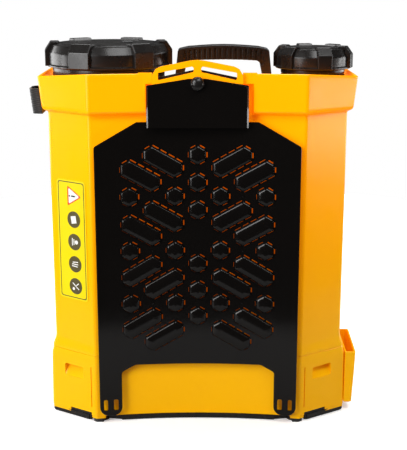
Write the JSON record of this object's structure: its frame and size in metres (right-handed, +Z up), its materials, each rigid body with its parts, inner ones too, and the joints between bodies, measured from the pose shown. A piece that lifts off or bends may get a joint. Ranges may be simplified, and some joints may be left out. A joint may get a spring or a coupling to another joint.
{
  "type": "backpack sprayer",
  "caption": "Battery knapsack sprayer: a rimmed tank with a wide and a narrow screw-capped mouth, a curved back plate with raised pads, a carry handle, and a base with pump and battery.",
  "frame": {"origin": "on the ground, under the middle of the whole object's box", "axes": "+Z up, -Y towards the wearer's back, +X on the right of someone who looks at the back plate"},
  "size_m": [0.4099, 0.228, 0.4705],
  "materials": {
    "yellow_body": "glossy blow-moulded polyethylene",
    "gloss_black": "high-gloss injection moulding",
    "satin_black": "satin",
    "rubber": "matt",
    "steel": "zinc plated",
    "white_plastic": "satin",
    "grey_plastic": "satin",
    "red_plastic": "satin",
    "lens": "clear window over a dark gauge",
    "brass": "turned",
    "webbing": "woven nylon",
    "label_film": "printed film"
  },
  "bodies": {
    "tank": {"tank_shell": "yellow_body", "filler_neck_ring": "satin_black", "small_neck_ring": "satin_black", "carry_handle": "satin_black", "handle_screw_left": "steel", "handle_screw_right": "steel", "back_plate": "gloss_black", "strap_bracket": "yellow_body", "plate_knob": "satin_black", "hose_loop": "webbing", "side_label": "label_film", "base_housing": "yellow_body", "bottom_plate": "satin_black", "rubber_foot_1": "rubber", "rubber_foot_2": "rubber", "rubber_foot_3": "rubber", "rubber_foot_4": "rubber", "bottom_screw_1": "steel", "bottom_screw_2": "steel", "bottom_screw_3": "steel", "bottom_screw_4": "steel", "lance_cup": "yellow_body", "control_panel": "satin_black", "switch_frame": "satin_black", "charge_gauge": "lens", "dial_potentiometer": "grey_plastic", "charging_socket": "grey_plastic", "cover_anchor": "rubber", "hose_outlet": "brass", "battery_pack": "grey_plastic", "battery_strap": "steel", "pump_motor": "steel", "pump_head": "satin_black", "pressure_switch": "grey_plastic", "tank_outlet": "grey_plastic", "outlet_strainer": "grey_plastic", "suction_hose": "rubber", "delivery_hose": "rubber"},
    "strainer": {"strainer_basket": "white_plastic"},
    "filler_liner": {"filler_cap_liner": "rubber"},
    "filler_cap_turning": {"filler_cap": "satin_black", "cap_vent_button": "rubber"},
    "small_liner": {"small_cap_liner": "rubber"},
    "small_cap_turning": {"small_cap": "satin_black"},
    "rocker": {"rocker_switch": "red_plastic"},
    "dial": {"speed_dial": "satin_black"},
    "cover": {"socket_cover": "rubber"},
    "shaft": {"pump_shaft": "steel"}
  },
  "joints": [
    {"name": "strainer_lift", "type": "slide", "parent": "tank", "child": "strainer", "axis": [0, 0, 1], "range_m": [0, 0.13]},
    {"name": "filler_cap_climb", "type": "slide", "parent": "strainer", "child": "filler_liner", "axis": [0, 0, 1], "range_m": [0, 0.00751]},
    {"name": "filler_cap_turn", "type": "hinge", "parent": "filler_liner", "child": "filler_cap_turning", "pos_m": [-0.112, 0, 0.459], "axis": [0, 0, 1], "range_deg": [0, 450]},
    {"name": "small_cap_climb", "type": "slide", "parent": "tank", "child": "small_liner", "axis": [0, 0, 1], "range_m": [0, 0.00501]},
    {"name": "small_cap_turn", "type": "hinge", "parent": "small_liner", "child": "small_cap_turning", "pos_m": [0.1444, 0, 0.456], "axis": [0, 0, 1], "range_deg": [0, 360]},
    {"name": "switch_tip", "type": "hinge", "parent": "tank", "child": "rocker", "pos_m": [-0.04, 0.1033, 0.048], "axis": [1, 0, 0], "range_deg": [-8, 8]},
    {"name": "speed_dial_turn", "type": "hinge", "parent": "tank", "child": "dial", "pos_m": [0.04, 0.1046, 0.048], "axis": [0, 1, 0], "range_deg": [-135, 135]},
    {"name": "socket_cover_lift", "type": "hinge", "parent": "tank", "child": "cover", "pos_m": [0.074, 0.1076, 0.062], "axis": [1, 0, 0], "range_deg": [0, 110]},
    {"name": "pump_shaft_spin", "type": "hinge", "parent": "tank", "child": "shaft", "pos_m": [0.062, 0.012, 0.042], "axis": [1, 0, 0], "continuous": true}
  ],
  "couplings": [
    {"joint": "filler_cap_climb", "follows": "filler_cap_turn", "m_per_rad": 0.00095493},
    {"joint": "small_cap_climb", "follows": "small_cap_turn", "m_per_rad": 0.00079577}
  ]
}
